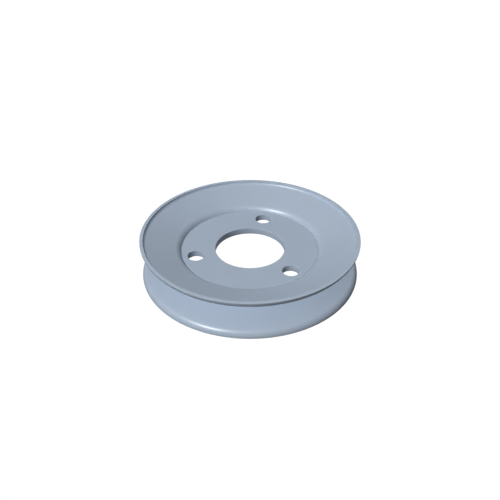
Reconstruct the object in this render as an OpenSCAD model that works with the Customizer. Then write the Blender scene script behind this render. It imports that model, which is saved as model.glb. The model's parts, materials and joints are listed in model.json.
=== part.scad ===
// Bare V-belt pulley of sheet steel: two pressed flanges back to back, a thicker
// hub disc inside their collars, and the brazed joint that holds the three together.
// +Z runs along the shaft. The origin is the centre of the bore, halfway through the
// disc and halfway across the belt groove. One bolt hole lies on +X. Millimetres.

/* [Rim] */
// Diameter over the lips
rim_d = 130; // [120:1:180]
// Thickness of the flange sheet
sheet_t = 2; // [1.2:0.1:2.4]
// Inside radius of the bend into the lip
lip_bend_r = 2; // [1:0.1:4]
// Straight edge of the lip beyond its bend
lip_edge = 0.15; // [0:0.05:3]
// Rounding on the cut edge of the lip
lip_edge_r = 0.2; // [0.1:0.05:0.5]

/* [Belt groove] */
// Included angle between the two flanks
groove_angle = 34; // [30:1:40]
// Diameter at the bottom of the groove
root_d = 85.5; // [84:0.5:92]
// Radius of the rounded groove bottom
root_r = 3; // [2.5:0.1:4]

/* [Hub disc] */
// Thickness of the disc
disc_t = 4; // [3:0.1:4.6]
// Diameter of the centre bore
bore_d = 41.6; // [20:0.1:50]
// Radial gap between disc and collars that the filler runs into
braze_gap = 0.15; // [0.1:0.05:0.4]

/* [Bolt holes] */
// Number of bolt holes
bolt_count = 3; // [3:1:6]
// Diameter of each bolt hole
bolt_hole_d = 10; // [6:0.1:10.5]
// Diameter of the circle through their centres
bolt_circle_d = 66; // [63:1:68]

/* [Hidden] */
$fn = 180;

flank_angle = groove_angle / 2;
rim_r = rim_d / 2;
// Direction across the sheet, from the groove side to the dish side
across = [-sin(flank_angle), cos(flank_angle)];
// Bend that makes the groove bottom: its centre and its radius on the dish side
root_centre = [root_d / 2 + root_r, 0];
collar_r = root_r + sheet_t;
// Bend that turns the cone up into the lip
lip_outer_r = lip_bend_r + sheet_t;
lip_centre_r = rim_r - lip_outer_r;
lip_centre_z = (lip_centre_r - root_centre[0]) * tan(flank_angle)
             + (collar_r + lip_bend_r) / cos(flank_angle);
lip_centre = [lip_centre_r, lip_centre_z];
lip_top_z = lip_centre_z + lip_edge;
disc_r = root_centre[0] - collar_r - braze_gap;
// How far a cutting shape reaches past what it cuts
cut = 1;
// Blue-grey enamel over every piece
enamel = [0.62, 0.67, 0.73];

// Everything on the dish side of a line that follows the flange's section.
// depth is how far the line lies from the groove face, through the sheet.
module dish_side_of(depth) {
    bend_r = lip_outer_r - depth;
    difference() {
        union() {
            polygon([
                [0, 0],
                root_centre,
                root_centre + (root_r + depth) * across,
                lip_centre - bend_r * across,
                lip_centre,
                lip_centre + [bend_r, 0],
                lip_centre + [bend_r, 2 * lip_outer_r],
                [0, lip_centre_z + 2 * lip_outer_r]
            ]);
            translate(lip_centre) circle(r = bend_r);
        }
        translate(root_centre) circle(r = root_r + depth);
    }
}

// Quarter of the waste outside a rounded corner; the corner points along +X and +Y.
module corner_waste(r) {
    difference() {
        translate([-r, -r]) square(r + cut);
        translate([-r, -r]) circle(r = r);
        translate([-2 * r - cut, -2 * r - cut]) square([r + cut, 3 * r + 3 * cut]);
        translate([-2 * r - cut, -2 * r - cut]) square([3 * r + 3 * cut, r + cut]);
    }
}

// Section of one flange, to the right of the shaft line
module flange_section() {
    difference() {
        dish_side_of(0);
        dish_side_of(sheet_t);
        translate([0, lip_top_z]) square([rim_r + cut, 3 * lip_outer_r]);
        translate([rim_r, lip_top_z]) corner_waste(lip_edge_r);
        translate([rim_r - sheet_t, lip_top_z]) mirror([1, 0]) corner_waste(lip_edge_r);
    }
}

module flange() {
    rotate_extrude() flange_section();
}

module upper_flange() {
    color(enamel) flange();
}

module lower_flange() {
    color(enamel) mirror([0, 0, 1]) flange();
}

module bolt_holes() {
    for (i = [0 : bolt_count - 1])
        rotate(i * 360 / bolt_count)
            translate([bolt_circle_d / 2, 0, -disc_t / 2 - cut])
                cylinder(d = bolt_hole_d, h = disc_t + 2 * cut);
}

module hub_disc() {
    color(enamel)
        difference() {
            translate([0, 0, -disc_t / 2]) cylinder(r = disc_r, h = disc_t);
            translate([0, 0, -disc_t / 2 - cut]) cylinder(d = bore_d, h = disc_t + 2 * cut);
            bolt_holes();
        }
}

// Filler metal between the disc's edge and the two collars, thinnest at mid-plane
module braze_joint() {
    color(enamel)
        rotate_extrude()
            difference() {
                translate([disc_r, -disc_t / 2]) square([root_r, disc_t]);
                translate(root_centre) circle(r = collar_r);
            }
}

upper_flange();
lower_flange();
hub_disc();
braze_joint();
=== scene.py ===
"""Finished look of a pressed-steel V-belt pulley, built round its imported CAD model.

The CAD model fixes every size. This script makes the same four pieces as finer meshes, with
worked edges, gives them a satin blue-grey enamel and stands them in a pale studio. Lengths are
in metres, +Z is the shaft line, and the groove's mid-plane is at zero height.
"""

from __future__ import annotations

import json
import logging
import math
from collections.abc import Iterator, Sequence
from dataclasses import dataclass
from enum import Enum

import bmesh
import bpy
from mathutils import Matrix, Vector


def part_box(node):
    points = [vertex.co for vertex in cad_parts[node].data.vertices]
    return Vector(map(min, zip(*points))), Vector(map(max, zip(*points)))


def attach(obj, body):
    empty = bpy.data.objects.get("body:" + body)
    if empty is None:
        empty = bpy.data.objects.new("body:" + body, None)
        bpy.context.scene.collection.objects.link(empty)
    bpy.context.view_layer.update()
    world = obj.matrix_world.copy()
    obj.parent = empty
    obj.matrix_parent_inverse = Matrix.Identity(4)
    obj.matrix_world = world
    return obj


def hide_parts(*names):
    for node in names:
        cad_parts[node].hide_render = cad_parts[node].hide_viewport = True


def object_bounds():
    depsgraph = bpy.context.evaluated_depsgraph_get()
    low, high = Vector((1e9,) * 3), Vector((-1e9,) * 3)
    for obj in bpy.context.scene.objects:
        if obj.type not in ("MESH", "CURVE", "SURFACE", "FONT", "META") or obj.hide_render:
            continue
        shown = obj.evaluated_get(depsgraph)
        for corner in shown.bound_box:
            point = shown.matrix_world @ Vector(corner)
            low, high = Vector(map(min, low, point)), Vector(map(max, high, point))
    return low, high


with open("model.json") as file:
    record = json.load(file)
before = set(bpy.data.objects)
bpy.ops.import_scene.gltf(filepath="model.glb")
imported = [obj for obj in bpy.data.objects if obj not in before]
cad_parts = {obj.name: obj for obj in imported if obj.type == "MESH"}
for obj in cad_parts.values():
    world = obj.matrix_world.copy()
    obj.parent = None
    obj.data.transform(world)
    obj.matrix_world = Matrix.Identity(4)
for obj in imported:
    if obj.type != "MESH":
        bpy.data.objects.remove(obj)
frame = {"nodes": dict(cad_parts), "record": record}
CAD_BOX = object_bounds()

LOG = logging.getLogger("pulley")
BODY = "root"
MM = 0.001
NO_LENGTH = 1e-7

Point = tuple[float, float]
Colour = tuple[float, float, float]


# ---------------------------------------------------------------------------------------------
# Sizes, read from the frame
# ---------------------------------------------------------------------------------------------


class Side(Enum):
    """The side of the groove that a flange makes."""

    UPPER = 1
    LOWER = -1


def mount_sizes(name: str) -> dict[str, float]:
    """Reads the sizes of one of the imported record's mounts.

    Args:
        name: The mount's name.

    Returns:
        Its sizes in millimetres, by the record's own names.
    """
    return next(m["dims"] for m in frame["record"]["mounts"] if m["name"] == name)


def radii_at_mid_plane(node: str) -> list[float]:
    """Measures a CAD node where it crosses or meets the groove's mid-plane.

    Args:
        node: The CAD node's name.

    Returns:
        The distances of its corners there from the shaft line, smallest first.
    """
    corners = (v.co for v in frame["nodes"][node].data.vertices)
    return sorted(math.hypot(c.x, c.y) for c in corners if abs(c.z) < NO_LENGTH)


def radii(node: str) -> list[float]:
    """Measures how far all corners of a CAD node are from the shaft line.

    Args:
        node: The CAD node's name.

    Returns:
        The distances, smallest first.
    """
    return sorted(math.hypot(v.co.x, v.co.y) for v in frame["nodes"][node].data.vertices)


# ---------------------------------------------------------------------------------------------
# Mesh work
# ---------------------------------------------------------------------------------------------


class Outline:
    """Outline of a turned section, drawn with straight runs and bends.

    A point is its distance from the shaft line and its height. A straight run gets one more
    point close to each end, which keeps its shading flat right up to the bend beside it.
    """

    HOLD = 0.2 * MM
    LEAST_STEPS = 3
    STEP = 6.0

    def __init__(self) -> None:
        """Starts an empty outline."""
        self.points: list[Point] = []

    def run_to(self, radius: float, height: float) -> Outline:
        """Draws a straight run from the last point.

        Args:
            radius: Distance from the shaft line at the run's end.
            height: Height at the run's end.

        Returns:
            The outline itself.
        """
        end = Vector((radius, height))
        if self.points:
            start = Vector(self.points[-1])
            length = (end - start).length
            if length < NO_LENGTH:
                return self
            if length > 4 * self.HOLD:
                hold = (end - start) * (self.HOLD / length)
                self.points += [tuple(start + hold), tuple(end - hold)]
        self.points.append(tuple(end))
        return self

    def bend(self, centre: Point, radius: float, start: float, end: float) -> Outline:
        """Draws an arc, after a straight run to where it starts.

        Args:
            centre: The arc's centre.
            radius: The arc's radius.
            start: Angle of its first point in degrees, from straight outwards to straight up.
            end: Angle of its last point in degrees.

        Returns:
            The outline itself.
        """
        count = max(self.LEAST_STEPS, math.ceil(abs(end - start) / self.STEP))
        for i in range(count + 1):
            angle = math.radians(start + (end - start) * i / count)
            place = (centre[0] + radius * math.cos(angle), centre[1] + radius * math.sin(angle))
            if i == 0:
                self.run_to(*place)
            else:
                self.points.append(place)
        return self

    def close(self) -> Outline:
        """Draws the last straight run, back to the first point.

        Returns:
            The outline itself.
        """
        self.run_to(*self.points[0])
        self.points.pop()
        return self

    def turned_over(self) -> Outline:
        """Turns the outline over to the other side of the mid-plane.

        Returns:
            A new outline.
        """
        other = Outline()
        other.points = [(radius, -height) for radius, height in reversed(self.points)]
        return other


@dataclass(frozen=True)
class CutEdge:
    """The edge that a plate has along one circle, rounded above and below.

    Attributes:
        centre: The circle's centre in plan.
        radius: The circle's radius.
        hole: Whether the circle is a hole in the plate.
        upper: Rounding at the upper face.
        lower: Rounding at the lower face.
    """

    centre: Point
    radius: float
    hole: bool
    upper: float
    lower: float

    STEPS = 5
    HOLD = 0.3 * MM

    def levels(self, half: float) -> Iterator[Point]:
        """Lists the rings of points that make the edge, from the upper face down.

        Args:
            half: Half the plate's thickness.

        Yields:
            Each ring's radius and height.
        """
        inward = 1 if self.hole else -1
        yield self.radius + inward * (self.upper + self.HOLD), half
        for side, rounding in ((1, self.upper), (-1, self.lower)):
            steps = range(self.STEPS + 1) if side > 0 else range(self.STEPS, -1, -1)
            for i in steps:
                angle = math.pi / 2 * i / self.STEPS
                yield (
                    self.radius + inward * rounding * (1 - math.sin(angle)),
                    side * (half - rounding * (1 - math.cos(angle))),
                )
        yield self.radius + inward * (self.lower + self.HOLD), -half


class Workpiece:
    """A mesh in the making, which becomes one smooth closed piece."""

    SEGMENTS = 288
    HOLE_SEGMENTS = 96
    CREASE = math.radians(35)

    def __init__(self, name: str) -> None:
        """Starts an empty mesh.

        Args:
            name: The finished piece's name.
        """
        self.name = name
        self.work = bmesh.new()

    def ring(self, centre: Point, radius: float, height: float) -> list[bmesh.types.BMVert]:
        """Adds a ring of corners.

        Args:
            centre: The ring's centre in plan.
            radius: The ring's radius.
            height: The ring's height.

        Returns:
            Its corners in order.
        """
        count = self.HOLE_SEGMENTS if any(centre) else self.SEGMENTS
        turns = (2 * math.pi * i / count for i in range(count))
        return [
            self.work.verts.new((
                centre[0] + radius * math.cos(turn),
                centre[1] + radius * math.sin(turn),
                height,
            ))
            for turn in turns
        ]

    def bridge(self, rings: Sequence[Sequence[bmesh.types.BMVert]]) -> None:
        """Joins each ring to the next with quads.

        Args:
            rings: Rings of as many corners each.
        """
        for first, second in zip(rings, rings[1:]):
            for i, corner in enumerate(first):
                after = (i + 1) % len(first)
                self.work.faces.new((corner, first[after], second[after], second[i]))

    def fill(self, rings: Sequence[Sequence[bmesh.types.BMVert]]) -> None:
        """Fills the flat face between an outer ring and the rings inside it.

        Args:
            rings: The rings that bound the face.
        """
        edges = [
            self.work.edges.get((corner, ring[(i + 1) % len(ring)]))
            for ring in rings
            for i, corner in enumerate(ring)
        ]
        bmesh.ops.triangle_fill(self.work, use_beauty=True, edges=edges)

    def finished(self) -> bpy.types.Object:
        """Turns the mesh into an object in the scene, smooth except across its creases.

        Returns:
            The object.
        """
        bmesh.ops.recalc_face_normals(self.work, faces=self.work.faces)
        mesh = bpy.data.meshes.new(self.name)
        self.work.to_mesh(mesh)
        self.work.free()
        mesh.shade_smooth()
        mesh.set_sharp_from_angle(angle=self.CREASE)
        piece = bpy.data.objects.new(self.name, mesh)
        bpy.context.scene.collection.objects.link(piece)
        return piece

    @classmethod
    def turned(cls, name: str, outline: Outline) -> bpy.types.Object:
        """Turns a closed outline about the shaft line.

        Args:
            name: The piece's name.
            outline: The section's outline.

        Returns:
            The ring that it makes.
        """
        piece = cls(name)
        rings = [piece.ring((0.0, 0.0), *point) for point in outline.points]
        piece.bridge([*rings, rings[0]])
        return piece.finished()


# ---------------------------------------------------------------------------------------------
# Shader work
# ---------------------------------------------------------------------------------------------


class Wire:
    """A shader value that arithmetic signs work on. Each sign adds a Math node."""

    def __init__(self, nodes: NodeTree, socket: bpy.types.NodeSocket) -> None:
        """Wraps an output socket.

        Args:
            nodes: The tree that the socket is in.
            socket: The output socket.
        """
        self.nodes = nodes
        self.socket = socket

    def math(self, operation: str, *values: Wire | float) -> Wire:
        """Adds a Math node whose first value is this one.

        Args:
            operation: The Math node's operation.
            values: Its other values.

        Returns:
            Its result.
        """
        inputs = dict(enumerate((self, *values)))
        return self.nodes.node("ShaderNodeMath", {"operation": operation}, inputs)

    def __add__(self, other: Wire | float) -> Wire:
        """This plus other."""
        return self.math("ADD", other)

    __radd__ = __add__

    def __mul__(self, other: Wire | float) -> Wire:
        """This times other."""
        return self.math("MULTIPLY", other)

    def __sub__(self, other: Wire | float) -> Wire:
        """This minus other."""
        return self.math("SUBTRACT", other)

    def __rsub__(self, other: float) -> Wire:
        """Other minus this."""
        return self * -1.0 + other

    def __pow__(self, power: float) -> Wire:
        """This to a power."""
        return self.math("POWER", power)

    def fade(self, start: float, end: float) -> Wire:
        """Turns this smoothly into a share.

        Args:
            start: The value that gives 0.
            end: The value that gives 1, which may be the lower of the two.

        Returns:
            A share from 0 to 1.
        """
        rising = start < end
        inputs = {
            "Value": self,
            "From Min": min(start, end),
            "From Max": max(start, end),
            "To Min": 0.0 if rising else 1.0,
            "To Max": 1.0 if rising else 0.0,
        }
        return self.nodes.node("ShaderNodeMapRange", {"interpolation_type": "SMOOTHSTEP"}, inputs)


class NodeTree:
    """A shader's node tree, for a material, the floor or the studio's dome."""

    def __init__(self, owner: bpy.types.Material | bpy.types.World) -> None:
        """Empties the owner's tree.

        Args:
            owner: What the shader belongs to.
        """
        owner.use_nodes = True
        self.tree = owner.node_tree
        self.tree.nodes.clear()

    def node(
        self,
        kind: str,
        settings: dict[str, object] | None = None,
        inputs: dict[int | str, object] | None = None,
        output: int | str | None = 0,
    ) -> Wire | None:
        """Adds any node.

        Args:
            kind: The node's type.
            settings: Its own settings, which are made first.
            inputs: Values or wires for its input sockets, by name or number.
            output: The output socket to give, by name or number, or None if it has none.

        Returns:
            That output.
        """
        made = self.tree.nodes.new(kind)
        for name, value in (settings or {}).items():
            setattr(made, name, value)
        for name, value in (inputs or {}).items():
            if isinstance(value, Wire):
                self.tree.links.new(value.socket, made.inputs[name])
            else:
                made.inputs[name].default_value = value
        return None if output is None else Wire(self, made.outputs[output])

    def blend(self, share: Wire, first: Wire | Colour, second: Wire | Colour) -> Wire:
        """Mixes two colours.

        Args:
            share: How much there is of the second colour, from 0 to 1.
            first: The colour where the share is 0.
            second: The colour where the share is 1.

        Returns:
            The mixed colour.
        """
        # The node has a set of sockets for each type: 6 and 7 take colours, and output 2 gives one.
        colours = {
            number: colour if isinstance(colour, Wire) else (*colour, 1.0)
            for number, colour in ((6, first), (7, second))
        }
        return self.node("ShaderNodeMix", {"data_type": "RGBA"}, {0: share, **colours}, 2)


class PieceShader(NodeTree):
    """The node tree of a piece's material. It works in millimetres, in the pulley's own axes."""

    NOISE_MIDDLE = 0.5
    NOISE_SPREAD = 3.0

    def __init__(self, material: bpy.types.Material) -> None:
        """Starts the tree with the place on the piece.

        Args:
            material: The material to fill.
        """
        super().__init__(material)
        place = self.node("ShaderNodeTexCoord", output="Object")
        scaled = {0: place, "Scale": 1 / MM}
        self.place = self.node("ShaderNodeVectorMath", {"operation": "SCALE"}, scaled)
        self.x, self.y, self.z = (
            self.node("ShaderNodeSeparateXYZ", {}, {0: self.place}, axis) for axis in "XYZ"
        )
        self.radius = (self.x * self.x + self.y * self.y) ** 0.5

    def noise(self, size: float, detail: float = 2.0, at: Wire | None = None) -> Wire:
        """Adds noise that varies evenly about zero, from about -1 to 1.

        Args:
            size: Width of its blotches.
            detail: How many finer layers it has.
            at: Where to read it, or None for the place on the piece.

        Returns:
            The noise.
        """
        inputs = {"Vector": at or self.place, "Scale": 1 / size, "Detail": detail}
        return (self.node("ShaderNodeTexNoise", {}, inputs) - self.NOISE_MIDDLE) * self.NOISE_SPREAD

    def vector(self, x: Wire | float, y: Wire | float, z: Wire | float) -> Wire:
        """Joins three values into a vector."""
        return self.node("ShaderNodeCombineXYZ", {}, {0: x, 1: y, 2: z})

    def surface(self, constants: dict[str, object], varying: dict[str, Wire], relief: Wire) -> None:
        """Ends the tree in one coated surface.

        Args:
            constants: Values that are the same all over, by socket.
            varying: Wires by socket.
            relief: Height of the surface.
        """
        normal = self.node("ShaderNodeBump", {}, {"Height": relief, "Distance": MM})
        inputs = {**constants, **varying, "Normal": normal}
        shaded = self.node("ShaderNodeBsdfPrincipled", {}, inputs)
        self.node("ShaderNodeOutputMaterial", {}, {"Surface": shaded}, None)


# ---------------------------------------------------------------------------------------------
# Finishes
# ---------------------------------------------------------------------------------------------


@dataclass(frozen=True)
class SatinEnamel:
    """Sprayed and baked satin enamel over steel. Each piece's own finish builds on it.

    Attributes:
        name: The material's name.
        colour: The enamel's colour where it lies at its full thickness.
        roughness: Its mean roughness.
        flow: Height of the soft ripple that the spray leaves, in millimetres.
        grain: Height of its finest grain, in millimetres.
    """

    name: str
    colour: Colour
    roughness: float = 0.365
    flow: float = 0.007
    grain: float = 0.0018

    IOR = 1.5
    GLOSS = 0.64
    THIN_COLOUR = 1.08
    THIN_DULLING = 0.10
    THIN_SIZE = 2.4
    CLOUD = 0.022
    PATCH_SIZE = 14.0
    PATCH_SHARE = 0.7
    PATCH_DULLING = 0.012
    SPECKLE_SIZE = 0.7
    SPECKLE_DULLING = 0.01
    FLOW_SIZE = 2.6
    GRAIN_SIZE = 0.35

    def thinning(self, shader: PieceShader) -> Wire:
        """Says where the enamel draws back from an edge.

        Args:
            shader: The material's tree.

        Returns:
            A share, 1 where the coat is thinnest.
        """
        raise NotImplementedError

    def forming(self, shader: PieceShader) -> Wire:
        """Gives the marks in the steel that show through the coat.

        Args:
            shader: The material's tree.

        Returns:
            Their height in millimetres.
        """
        raise NotImplementedError

    def material(self) -> bpy.types.Material:
        """Builds the material.

        Returns:
            The new material.
        """
        made = bpy.data.materials.new(self.name)
        shader = PieceShader(made)
        patches = shader.noise(self.PATCH_SIZE, 3.0)
        speckle = shader.noise(self.SPECKLE_SIZE, 2.0)
        darker = tuple(c * (1 - self.CLOUD) for c in self.colour)
        lighter = tuple(c * (1 + self.CLOUD) for c in self.colour)
        cloud = patches * self.PATCH_SHARE + speckle * (1 - self.PATCH_SHARE)
        clouded = shader.blend(cloud.fade(-1, 1), darker, lighter)
        thin = shader.noise(self.THIN_SIZE, 2.0).fade(-1.8, 1.2) * self.thinning(shader)
        paler = tuple(c * self.THIN_COLOUR for c in self.colour)
        uneven = patches * self.PATCH_DULLING + speckle * self.SPECKLE_DULLING
        flow = shader.noise(self.FLOW_SIZE, 1.0) * self.flow
        grain = shader.noise(self.GRAIN_SIZE, 2.0) * self.grain
        shader.surface(
            {"IOR": self.IOR, "Specular IOR Level": self.GLOSS},
            {
                "Base Color": shader.blend(thin, clouded, paler),
                "Roughness": uneven + thin * self.THIN_DULLING + self.roughness,
            },
            flow + grain + self.forming(shader),
        )
        return made


@dataclass(frozen=True)
class FlangeEnamel(SatinEnamel):
    """The coat on a pressed flange, over the faint rings that the forming tool leaves.

    Attributes:
        lip_height: Height of the lip's cut edge above the mid-plane in millimetres.
    """

    lip_height: float = 0.0

    THIN_FROM = 0.35
    THIN_TO = 0.02
    FINE_RING = 0.9
    FINE_RELIEF = 0.0008
    BROAD_RING = 4.0
    BROAD_RELIEF = 0.002

    def thinning(self, shader: PieceShader) -> Wire:
        """Says where the enamel draws back from the lip's cut edge.

        Args:
            shader: The material's tree.

        Returns:
            A share, 1 where the coat is thinnest.
        """
        height = shader.z.math("ABSOLUTE")
        return height.fade(self.lip_height - self.THIN_FROM, self.lip_height - self.THIN_TO)

    def forming(self, shader: PieceShader) -> Wire:
        """Gives the rings that the forming tool leaves round the flange.

        Args:
            shader: The material's tree.

        Returns:
            Their height in millimetres.
        """
        section = shader.vector(shader.radius, shader.z, 0.0)
        fine = shader.noise(self.FINE_RING, 2.0, section) * self.FINE_RELIEF
        return fine + shader.noise(self.BROAD_RING, 1.0, section) * self.BROAD_RELIEF


@dataclass(frozen=True)
class DiscEnamel(SatinEnamel):
    """The coat on the hub disc, over flat-rolled steel.

    Attributes:
        bore_radius: The bore's radius in millimetres.
        hole_radius: The bolt holes' radius in millimetres.
        circle_radius: The bolt circle's radius in millimetres.
        hole_count: How many bolt holes there are.
    """

    bore_radius: float = 0.0
    hole_radius: float = 0.0
    circle_radius: float = 0.0
    hole_count: int = 1

    THIN_FROM = 0.40
    THIN_TO = 0.05
    STREAK_WIDTH = 0.6
    STREAK_SQUEEZE = 0.06
    STREAK_RELIEF = 0.0009

    def thinning(self, shader: PieceShader) -> Wire:
        """Says where the enamel draws back from the rims of the bore and the bolt holes.

        Args:
            shader: The material's tree.

        Returns:
            A share, 1 where the coat is thinnest.
        """
        turn = shader.y.math("ARCTAN2", shader.x).math("PINGPONG", math.pi / self.hole_count)
        reach = shader.radius
        across = turn.math("COSINE") * reach * (2 * self.circle_radius)
        from_hole = (reach * reach - across + self.circle_radius ** 2) ** 0.5
        near_hole = from_hole.fade(self.hole_radius + self.THIN_FROM, self.hole_radius + self.THIN_TO)
        near_bore = reach.fade(self.bore_radius + self.THIN_FROM, self.bore_radius + self.THIN_TO)
        return near_hole.math("MAXIMUM", near_bore)

    def forming(self, shader: PieceShader) -> Wire:
        """Gives the fine streaks of the rolled sheet.

        Args:
            shader: The material's tree.

        Returns:
            Their height in millimetres.
        """
        along = shader.vector(shader.x * self.STREAK_SQUEEZE, shader.y, shader.z)
        return shader.noise(self.STREAK_WIDTH, 3.0, along) * self.STREAK_RELIEF


@dataclass(frozen=True)
class SeamEnamel(SatinEnamel):
    """The coat on the brazed seam, which keeps the braze's slow waves.

    Attributes:
        seam_radius: The seam's radius in millimetres.
    """

    seam_radius: float = 0.0

    BLOTCH_SIZE = 3.0
    WAVE_LENGTH = 2.2
    WAVE_RELIEF = 0.01

    def thinning(self, shader: PieceShader) -> Wire:
        """Says where the enamel is thin, which on the seam is here and there.

        Args:
            shader: The material's tree.

        Returns:
            A share, 1 where the coat is thinnest.
        """
        return shader.noise(self.BLOTCH_SIZE, 2.0).fade(0.4, 1.2)

    def forming(self, shader: PieceShader) -> Wire:
        """Gives the waves in which the braze has set.

        Args:
            shader: The material's tree.

        Returns:
            Their height in millimetres.
        """
        turn = shader.y.math("ARCTAN2", shader.x) * self.seam_radius
        along = shader.vector(turn, 0.0, shader.z)
        return shader.noise(self.WAVE_LENGTH, 2.0, along) * self.WAVE_RELIEF


# ---------------------------------------------------------------------------------------------
# The pulley's pieces
# ---------------------------------------------------------------------------------------------


def dress(piece: bpy.types.Object, node: str, finish: SatinEnamel) -> bpy.types.Object:
    """Coats a piece and puts it in the place of its CAD node.

    Args:
        piece: The piece.
        node: The CAD node that it stands for.
        finish: The finish to give it.

    Returns:
        The piece.
    """
    piece.data.materials.append(bpy.data.materials.get(finish.name) or finish.material())
    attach(piece, BODY)
    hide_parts(node)
    return piece


@dataclass(frozen=True)
class PressedFlange:
    """A flange pressed from sheet: a collar turned in at the hub, a cone, and a lip turned up.

    Attributes:
        side: The side of the groove that it makes.
        rim_radius: Outer radius of the rim.
        lip_height: Height of the lip's cut edge above the mid-plane.
        collar_radius: Inner radius of the collar where the two flanges meet.
        sheet: Thickness of the sheet.
    """

    side: Side
    rim_radius: float
    lip_height: float
    collar_radius: float
    sheet: float

    COLOUR = (0.36, 0.43, 0.526)
    FLANK = 17.0
    ROOT_BEND = 3.0 * MM
    LIP_BEND = 2.0 * MM
    LIP_EDGE = 0.12 * MM
    SEAM_EDGE = 0.12 * MM

    @staticmethod
    def node_name(side: Side) -> str:
        """Names the CAD node of one side."""
        return f"{side.name.lower()}_flange"

    @classmethod
    def from_frame(cls, side: Side) -> PressedFlange:
        """Takes a flange's sizes from the CAD model.

        Args:
            side: The side of the groove.

        Returns:
            The flange.
        """
        node = cls.node_name(side)
        low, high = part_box(node)
        at_mid_plane = radii_at_mid_plane(node)
        inner, outer = at_mid_plane[0], at_mid_plane[-1]
        return cls(side, high.x, max(high.z, -low.z), inner, outer - inner)

    def outline(self) -> Outline:
        """Draws the upper flange's section, from the collar up the dish and back down the groove.

        Returns:
            The closed outline.
        """
        root = (self.collar_radius + self.sheet + self.ROOT_BEND, 0.0)
        collar_bend = self.ROOT_BEND + self.sheet
        lip_radius = self.rim_radius - self.sheet - self.LIP_BEND
        lip_outer = self.LIP_BEND + self.sheet
        slope = math.radians(self.FLANK)
        rise = (lip_radius - root[0]) * math.tan(slope)
        lip = (lip_radius, rise + (self.ROOT_BEND + lip_outer) / math.cos(slope))
        edge, seam = self.LIP_EDGE, self.SEAM_EDGE
        edge_height = self.lip_height - edge
        short = math.degrees(math.asin(seam / self.ROOT_BEND))
        level = math.degrees(math.asin((edge_height - lip[1]) / self.LIP_BEND))
        outline = Outline()
        outline.bend(root, collar_bend, 180, 90 + self.FLANK)
        outline.bend(lip, self.LIP_BEND, self.FLANK - 90, level)
        outline.bend((self.rim_radius - self.sheet + edge, edge_height), edge, 180, 90)
        outline.bend((self.rim_radius - edge, edge_height), edge, 90, 0)
        outline.bend(lip, lip_outer, level / 2, self.FLANK - 90)
        outline.bend(root, self.ROOT_BEND, 90 + self.FLANK, 180 - short)
        outline.bend((self.collar_radius + self.sheet - seam, seam), seam, 0, -90)
        return outline.close()

    def press(self) -> bpy.types.Object:
        """Makes the flange's mesh.

        Returns:
            The flange on its own side of the mid-plane.
        """
        outline = self.outline()
        if self.side is Side.LOWER:
            outline = outline.turned_over()
        return Workpiece.turned(f"{self.node_name(self.side)}_pressing", outline)

    def build(self) -> bpy.types.Object:
        """Makes the flange and coats it.

        Returns:
            The finished flange.
        """
        enamel = FlangeEnamel(
            "flange_enamel",
            self.COLOUR,
            lip_height=self.lip_height / MM,
        )
        return dress(self.press(), self.node_name(self.side), enamel)


@dataclass(frozen=True)
class HubDisc:
    """The thicker disc that carries the pulley on its hub.

    Attributes:
        radius: The disc's radius.
        half: Half its thickness.
        bore_radius: The centre bore's radius.
        hole_radius: The bolt holes' radius.
        circle_radius: The bolt circle's radius.
        hole_count: How many bolt holes there are.
    """

    radius: float
    half: float
    bore_radius: float
    hole_radius: float
    circle_radius: float
    hole_count: int

    COLOUR = (0.36, 0.43, 0.526)
    ROLL_OVER = 0.12 * MM
    BROKEN_BURR = 0.06 * MM
    RIM_EDGE = 0.08 * MM

    @classmethod
    def from_frame(cls) -> HubDisc:
        """Takes the disc's sizes from the CAD model and its mounts.

        Returns:
            The disc.
        """
        _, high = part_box("hub_disc")
        holes = mount_sizes("bolt_holes")
        return cls(
            radius=high.x,
            half=high.z,
            bore_radius=mount_sizes("bore")["r_mm"] * MM,
            hole_radius=holes["hole_r_mm"] * MM,
            circle_radius=holes["pcd_mm"] / 2 * MM,
            hole_count=int(holes["count"]),
        )

    def edges(self) -> list[CutEdge]:
        """Lists the disc's edges.

        Returns:
            Its rim, its bore and then its bolt holes.
        """
        turns = (2 * math.pi * i / self.hole_count for i in range(self.hole_count))
        centres = [
            (self.circle_radius * math.cos(turn), self.circle_radius * math.sin(turn))
            for turn in turns
        ]
        rim = CutEdge((0.0, 0.0), self.radius, False, self.RIM_EDGE, self.RIM_EDGE)
        bore = CutEdge((0.0, 0.0), self.bore_radius, True, self.ROLL_OVER, self.BROKEN_BURR)
        return [rim, bore] + [
            CutEdge(centre, self.hole_radius, True, self.ROLL_OVER, self.BROKEN_BURR)
            for centre in centres
        ]

    def blank(self) -> bpy.types.Object:
        """Makes the disc's mesh.

        Returns:
            The blanked and pierced disc.
        """
        piece = Workpiece("hub_disc_blank")
        walls = []
        for edge in self.edges():
            wall = [piece.ring(edge.centre, *level) for level in edge.levels(self.half)]
            piece.bridge(wall)
            walls.append(wall)
        piece.fill([wall[0] for wall in walls])
        piece.fill([wall[-1] for wall in walls])
        return piece.finished()

    def build(self) -> bpy.types.Object:
        """Makes the disc and coats it.

        Returns:
            The finished disc.
        """
        enamel = DiscEnamel(
            "disc_enamel",
            self.COLOUR,
            bore_radius=self.bore_radius / MM,
            hole_radius=self.hole_radius / MM,
            circle_radius=self.circle_radius / MM,
            hole_count=self.hole_count,
        )
        return dress(self.blank(), "hub_disc", enamel)


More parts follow.
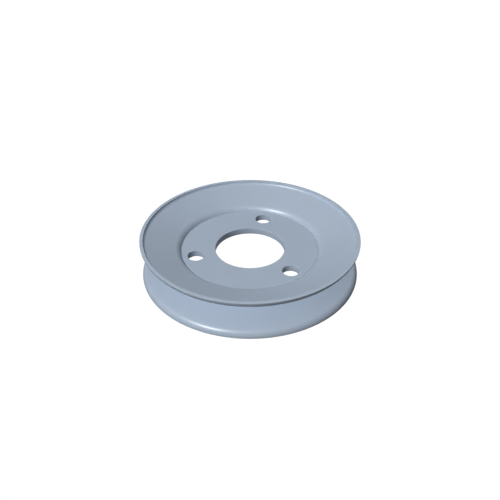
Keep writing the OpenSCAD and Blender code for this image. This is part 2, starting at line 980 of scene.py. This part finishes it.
@dataclass(frozen=True)
class BrazedSeam:
    """The ring of braze that joins the disc to the two collars.

    Attributes:
        inner: Its inner radius, at the disc's rim.
        outer: Its outer radius at the disc's faces, where it has run up the collar's bend.
        waist: Its outer radius at the mid-plane.
        half: Half its height.
        bend: Radius of the collar's bend.
    """

    inner: float
    outer: float
    waist: float
    half: float
    bend: float

    # The seam's colour is about seven eighths of the flanges' enamel. It is painted shade for the
    # corner where the disc meets the collars.
    COLOUR = (0.315, 0.376, 0.46)
    SINK = 0.10 * MM
    STEPS = 6

    @classmethod
    def from_frame(cls, flange: PressedFlange) -> BrazedSeam:
        """Takes the seam's sizes from the CAD model.

        Args:
            flange: A flange that it joins to the disc.

        Returns:
            The seam.
        """
        _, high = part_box("braze_joint")
        reach = radii("braze_joint")
        bend = flange.ROOT_BEND + flange.sheet
        return cls(reach[0], reach[-1], flange.collar_radius, high.z, bend)

    def face(self, side: int) -> list[Point]:
        """Draws the seam's hollow face from the disc to the collar.

        Args:
            side: 1 for the upper face, -1 for the lower.

        Returns:
            The face's points.
        """
        shares = (i / self.STEPS for i in range(self.STEPS + 1))
        width = self.outer - self.inner
        return [
            (self.inner + width * share, side * (self.half - 4 * self.SINK * share * (1 - share)))
            for share in shares
        ]

    def outline(self) -> Outline:
        """Draws the seam's section, from the upper face down the collars and back along the lower face.

        Returns:
            The closed outline.
        """
        centre = (self.waist + self.bend, 0.0)
        spread = math.degrees(math.asin(self.half / self.bend))
        outline = Outline()
        outline.points += self.face(1)
        outline.bend(centre, self.bend, 180 - spread, 180 + spread)
        outline.points += reversed(self.face(-1)[:-1])
        return outline.close()

    def build(self) -> bpy.types.Object:
        """Makes the seam and coats it.

        Returns:
            The finished seam.
        """
        # The seam's material carries its darker colour, which is painted shade in the corner between
        # the disc and the collars.
        enamel = SeamEnamel("seam_enamel", self.COLOUR, seam_radius=self.outer / MM)
        piece = Workpiece.turned("brazed_seam", self.outline())
        return dress(piece, "braze_joint", enamel)


# ---------------------------------------------------------------------------------------------
# The studio
# ---------------------------------------------------------------------------------------------


def outward(azimuth: float, elevation: float) -> Vector:
    """Turns two angles into a direction away from the pulley.

    Args:
        azimuth: Angle round the shaft line in degrees, 0 towards -Y and 90 towards +X.
        elevation: Angle above the horizon in degrees.

    Returns:
        The direction.
    """
    turn, rise = math.radians(azimuth), math.radians(elevation)
    level = math.cos(rise)
    return Vector((math.sin(turn) * level, -math.cos(turn) * level, math.sin(rise)))


@dataclass(frozen=True)
class Softbox:
    """A round soft light aimed at the pulley. It throws no shadows.

    Attributes:
        name: Its name.
        azimuth: Its direction round the shaft line in degrees.
        elevation: Its height above the horizon in degrees.
        width: Its width in metres.
        power: Its power in watts.
    """

    name: str
    azimuth: float
    elevation: float
    width: float
    power: float

    DISTANCE = 4.0

    def set_up(self, centre: Vector) -> None:
        """Makes the light.

        Args:
            centre: The point that it is aimed at.
        """
        data = bpy.data.lights.new(self.name, "AREA")
        data.shape = "DISK"
        data.size = self.width
        data.energy = self.power
        data.use_shadow = False
        light = bpy.data.objects.new(self.name, data)
        away = outward(self.azimuth, self.elevation)
        light.location = centre + away * self.DISTANCE
        light.rotation_euler = (-away).to_track_quat("-Z", "Y").to_euler()
        light.visible_camera = False
        bpy.context.scene.collection.objects.link(light)


@dataclass(frozen=True)
class Glow:
    """A soft patch of the dome that is brighter than the rest.

    Attributes:
        azimuth: Its direction round the shaft line in degrees.
        elevation: Its height above the horizon in degrees.
        strength: How much light it adds at its middle.
        focus: How fast it fades away from its middle.
    """

    azimuth: float
    elevation: float
    strength: float
    focus: float

    def light(self, nodes: NodeTree, direction: Wire) -> Wire:
        """Gives the light that it adds in every direction.

        Args:
            nodes: The dome's tree.
            direction: The direction that is looked in.

        Returns:
            The added strength.
        """
        inputs = {0: direction, 1: outward(self.azimuth, self.elevation)}
        facing = nodes.node("ShaderNodeVectorMath", {"operation": "DOT_PRODUCT"}, inputs, 1)
        return (facing * 0.5 + 0.5) ** self.focus * self.strength


class Studio:
    """The camera, the pale floor, the dome and the lights."""

    CAMERA_AZIMUTH = 45.0
    CAMERA_ELEVATION = 35.14
    CAMERA_DISTANCE = 2.992
    LENS = 46.44
    FLOOR = 6.0
    FLOOR_GAP = 0.05 * MM
    WHITE = (1.0, 1.0, 1.0, 1.0)
    SEEN_WHITE = 1.05
    DOME = 0.111
    GLOWS = (
        Glow(0.0, -90.0, 0.082, 3.0),
        Glow(225.0, -42.0, 0.16, 8.0),
        Glow(60.0, 5.0, 0.09, 4.0),
    )
    LIGHTS = (
        Softbox("key_light", -5.0, 50.5, 0.4, 154.0),
        Softbox("top_light", 45.0, 76.0, 2.5, 11.5),
    )

    def __init__(self, low: Vector, high: Vector) -> None:
        """Measures what the studio is set up round.

        Args:
            low: Lowest corner of the pulley's box.
            high: Highest corner of the pulley's box.
        """
        self.low = low
        self.centre = (low + high) / 2
        self.width = high.x - low.x

    def camera(self) -> None:
        """Makes the camera, aimed at the pulley's centre."""
        data = bpy.data.cameras.new("camera")
        data.lens = self.LENS
        away = outward(self.CAMERA_AZIMUTH, self.CAMERA_ELEVATION)
        camera = bpy.data.objects.new("camera", data)
        camera.location = self.centre + away * (self.CAMERA_DISTANCE * self.width)
        camera.rotation_euler = (-away).to_track_quat("-Z", "Y").to_euler()
        bpy.context.scene.collection.objects.link(camera)
        bpy.context.scene.camera = camera

    def floor(self) -> None:
        """Lays the plain white floor under the pulley. From below it can be seen through."""
        half = self.FLOOR / 2
        corners = ((-half, -half, 0), (half, -half, 0), (half, half, 0), (-half, half, 0))
        mesh = bpy.data.meshes.new("floor")
        mesh.from_pydata(corners, [], [(0, 1, 2, 3)])
        floor = bpy.data.objects.new("floor", mesh)
        floor.location = (self.centre.x, self.centre.y, self.low.z - self.FLOOR_GAP)
        floor.visible_diffuse = False
        floor.visible_glossy = False
        floor.visible_shadow = False
        bpy.context.scene.collection.objects.link(floor)
        material = bpy.data.materials.new("white_floor")
        nodes = NodeTree(material)
        glow = nodes.node("ShaderNodeEmission", {}, {"Color": self.WHITE, "Strength": self.SEEN_WHITE})
        clear = nodes.node("ShaderNodeBsdfTransparent")
        below = nodes.node("ShaderNodeNewGeometry", output="Backfacing")
        sheet = nodes.node("ShaderNodeMixShader", {}, {0: below, 1: glow, 2: clear})
        nodes.node("ShaderNodeOutputMaterial", {}, {"Surface": sheet}, None)
        mesh.materials.append(material)

    def dome(self) -> None:
        """Makes the dome, which the camera sees as white and which lights the pulley dimly."""
        world = bpy.data.worlds.new("dome")
        bpy.context.scene.world = world
        nodes = NodeTree(world)
        direction = nodes.node("ShaderNodeTexCoord", output="Generated")
        strength = sum((glow.light(nodes, direction) for glow in self.GLOWS), self.DOME)
        seen = nodes.node("ShaderNodeLightPath", output="Is Camera Ray")
        strength = strength + seen * (self.SEEN_WHITE - strength)
        light = nodes.node("ShaderNodeBackground", {}, {"Color": self.WHITE, "Strength": strength})
        nodes.node("ShaderNodeOutputWorld", {}, {"Surface": light}, None)

    def set_up(self) -> None:
        """Sets up everything round the pulley."""
        self.camera()
        self.floor()
        self.dome()
        for light in self.LIGHTS:
            light.set_up(self.centre)
        bpy.context.scene.view_settings.view_transform = "Standard"


def main() -> None:
    """Sets up the studio, builds the pulley's pieces in order and reports each one."""
    logging.basicConfig(level=logging.INFO, format="%(name)s: %(message)s")
    Studio(*CAD_BOX).set_up()
    flanges = [PressedFlange.from_frame(side) for side in Side]
    makers = [*flanges, HubDisc.from_frame(), BrazedSeam.from_frame(flanges[0])]
    for maker in makers:
        piece = maker.build()
        LOG.info("%s: %d faces", piece.name, len(piece.data.polygons))


if __name__ == "__main__":
    main()
